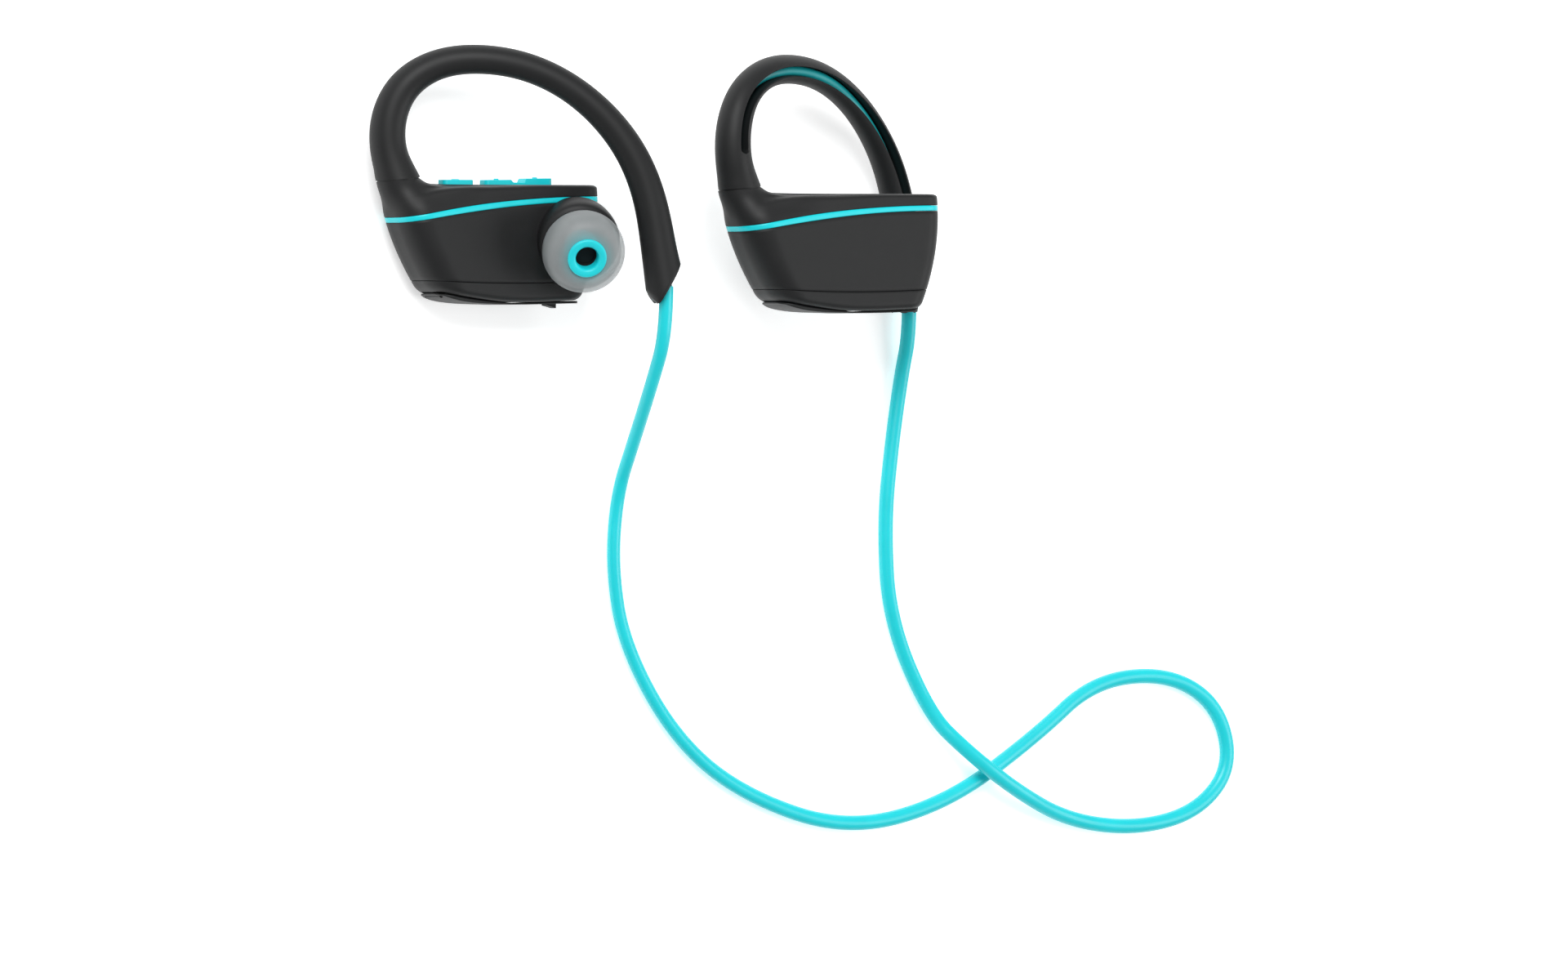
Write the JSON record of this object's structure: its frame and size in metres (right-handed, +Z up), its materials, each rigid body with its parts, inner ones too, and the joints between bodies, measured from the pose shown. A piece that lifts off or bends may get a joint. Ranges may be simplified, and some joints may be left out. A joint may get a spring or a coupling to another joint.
{
  "type": "neckband earphones",
  "caption": "Sports earphones: two over-ear hook earpieces with side buttons, a port door and silicone tips, joined by one neck cord.",
  "frame": {"origin": "centre of the two earpieces' box, on the table they lie on", "axes": "+X rearward along both earpieces, +Y towards the crowns of the hooks, +Z up from the table"},
  "size_m": [0.1769, 0.138, 0.0265],
  "materials": {
    "soft_touch_black": "soft-touch matte",
    "cyan_trim": "satin gloss",
    "cyan_keys": "satin",
    "tip_core_silicone": "smooth silicone",
    "tip_dome_silicone": "translucent grey silicone",
    "cord_silicone": "smooth silicone",
    "spring_steel": "drawn",
    "bright_steel": "bright",
    "diaphragm_film": "film",
    "board_green": "solder mask",
    "seal_silicone": "matte",
    "battery_wrap": "film"
  },
  "bodies": {
    "neckband": {"left_bottom_bezel": "soft_touch_black", "left_button_seal": "seal_silicone", "left_circuit_board": "board_green", "left_door_pin": "bright_steel", "left_driver_basket": "spring_steel", "left_driver_diaphragm": "diaphragm_film", "left_driver_magnet": "bright_steel", "left_driver_pod": "soft_touch_black", "left_ear_hook": "soft_touch_black", "left_hook_cable": "cord_silicone", "left_hook_wire": "spring_steel", "left_lower_shell": "soft_touch_black", "left_microphone": "bright_steel", "left_nozzle_mesh": "spring_steel", "left_radio_module": "bright_steel", "left_rocker_pin": "bright_steel", "left_shell_screws": "bright_steel", "left_strain_relief": "soft_touch_black", "left_tact_switches": "bright_steel", "left_trim_band": "cyan_trim", "left_upper_shell": "soft_touch_black", "left_usb_socket": "bright_steel", "neck_cord": "cord_silicone", "right_battery_cell": "battery_wrap", "right_bottom_bezel": "soft_touch_black", "right_bottom_cover": "soft_touch_black", "right_driver_basket": "spring_steel", "right_driver_diaphragm": "diaphragm_film", "right_driver_magnet": "bright_steel", "right_driver_pod": "soft_touch_black", "right_ear_hook": "soft_touch_black", "right_hook_cable": "cord_silicone", "right_hook_wire": "spring_steel", "right_lower_shell": "soft_touch_black", "right_nozzle_mesh": "spring_steel", "right_protection_board": "board_green", "right_shell_screws": "bright_steel", "right_strain_relief": "soft_touch_black", "right_trim_band": "cyan_trim", "right_upper_shell": "soft_touch_black"},
    "power_button": {"left_power_button": "cyan_keys"},
    "volume_rocker": {"left_volume_rocker": "cyan_keys"},
    "port_door": {"left_port_door": "soft_touch_black"},
    "left_ear_tip": {"left_tip_core": "tip_core_silicone", "left_tip_dome": "tip_dome_silicone"},
    "right_ear_tip": {"right_tip_core": "tip_core_silicone", "right_tip_dome": "tip_dome_silicone"}
  },
  "joints": [
    {"name": "power_button_press", "type": "slide", "parent": "neckband", "child": "power_button", "axis": [0, -1, 0], "range_m": [0, 0.0004], "stiffness_N_per_m": 3000},
    {"name": "volume_rocker_tilt", "type": "hinge", "parent": "neckband", "child": "volume_rocker", "pos_m": [-0.02735, -0.00135, 0.00625], "axis": [0, 0, 1], "range_deg": [-3, 3], "stiffness_Nm_per_rad": 0.15},
    {"name": "port_door_swing", "type": "hinge", "parent": "neckband", "child": "port_door", "pos_m": [-0.04445, -0.02, 0.00625], "axis": [0, 0, -1], "range_deg": [0, 95]},
    {"name": "left_tip_pull", "type": "slide", "parent": "neckband", "child": "left_ear_tip", "axis": [-0.3201, -0.3101, 0.8952], "range_m": [0, 0.01]},
    {"name": "right_tip_pull", "type": "slide", "parent": "neckband", "child": "right_ear_tip", "axis": [-0.3201, -0.3101, -0.8952], "range_m": [0, 0.01]}
  ]
}
